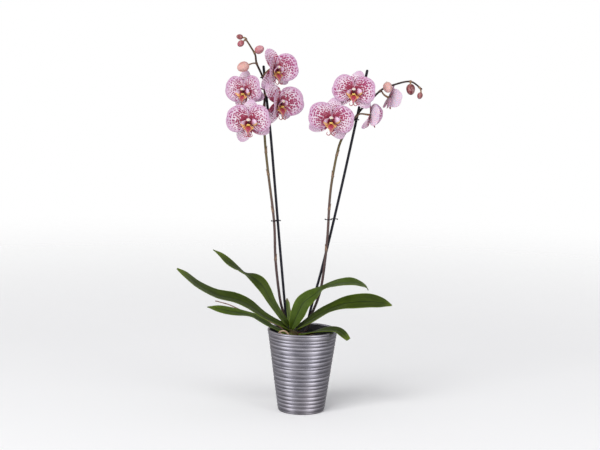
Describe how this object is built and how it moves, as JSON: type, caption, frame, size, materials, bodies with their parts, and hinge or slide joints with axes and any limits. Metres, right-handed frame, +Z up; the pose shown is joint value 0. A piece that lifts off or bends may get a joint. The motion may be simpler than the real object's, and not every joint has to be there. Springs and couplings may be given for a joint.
{
  "type": "potted orchid",
  "caption": "Moth orchid in a ribbed silver pot: two staked flower spikes with spotted pink flowers and buds over arching strap leaves.",
  "frame": {"origin": "on the pot's axis, at the flat face that the pot stands on", "axes": "+Z up; the plant's broad side, with its flowers, faces -Y; +X is to the right of someone who faces the flowers"},
  "size_m": [0.4382, 0.1307, 0.6874],
  "materials": {
    "silver_glaze": "satin",
    "clear_plastic": "gloss",
    "bark": "matte",
    "leaf": "satin",
    "root": "matte",
    "stem": "satin",
    "black_plastic": "satin",
    "petal": "satin",
    "lip": "satin",
    "column": "satin",
    "bud": "satin"
  },
  "bodies": {
    "root": {"cachepot": "silver_glaze", "nursery_pot": "clear_plastic", "bark_mix": "bark", "crown_stem": "leaf", "root_front": "root", "aerial_root_left": "root", "leaf_long_left": "leaf", "leaf_lower_left": "leaf", "leaf_upper_left": "leaf", "leaf_upper_right": "leaf", "leaf_long_right": "leaf", "leaf_young": "leaf", "leaf_lower_right": "leaf", "spike_left": "stem", "spike_right": "stem", "stake_left": "black_plastic", "stake_right": "black_plastic", "clip_left_lower": "black_plastic", "clip_left_upper": "black_plastic", "clip_right_lower": "black_plastic", "clip_right_upper": "black_plastic", "left_bud_1": "bud", "left_bud_2": "bud", "left_bud_3": "bud", "left_bud_4": "bud", "right_bud_1": "bud", "right_bud_2": "bud", "right_bud_3": "bud", "left_flower_1_sepals": "petal", "left_flower_1_petals": "petal", "left_flower_1_lip": "lip", "left_flower_1_column": "column", "left_flower_2_sepals": "petal", "left_flower_2_petals": "petal", "left_flower_2_lip": "lip", "left_flower_2_column": "column", "left_flower_3_sepals": "petal", "left_flower_3_petals": "petal", "left_flower_3_lip": "lip", "left_flower_3_column": "column", "left_flower_4_sepals": "petal", "left_flower_4_petals": "petal", "left_flower_4_lip": "lip", "left_flower_4_column": "column", "right_flower_1_sepals": "petal", "right_flower_1_petals": "petal", "right_flower_1_lip": "lip", "right_flower_1_column": "column", "right_flower_2_sepals": "petal", "right_flower_2_petals": "petal", "right_flower_2_lip": "lip", "right_flower_2_column": "column", "right_flower_3_sepals": "petal", "right_flower_3_petals": "petal", "right_flower_3_lip": "lip", "right_flower_3_column": "column", "right_flower_4_sepals": "petal", "right_flower_4_petals": "petal", "right_flower_4_lip": "lip", "right_flower_4_column": "column"}
  },
  "joints": []
}
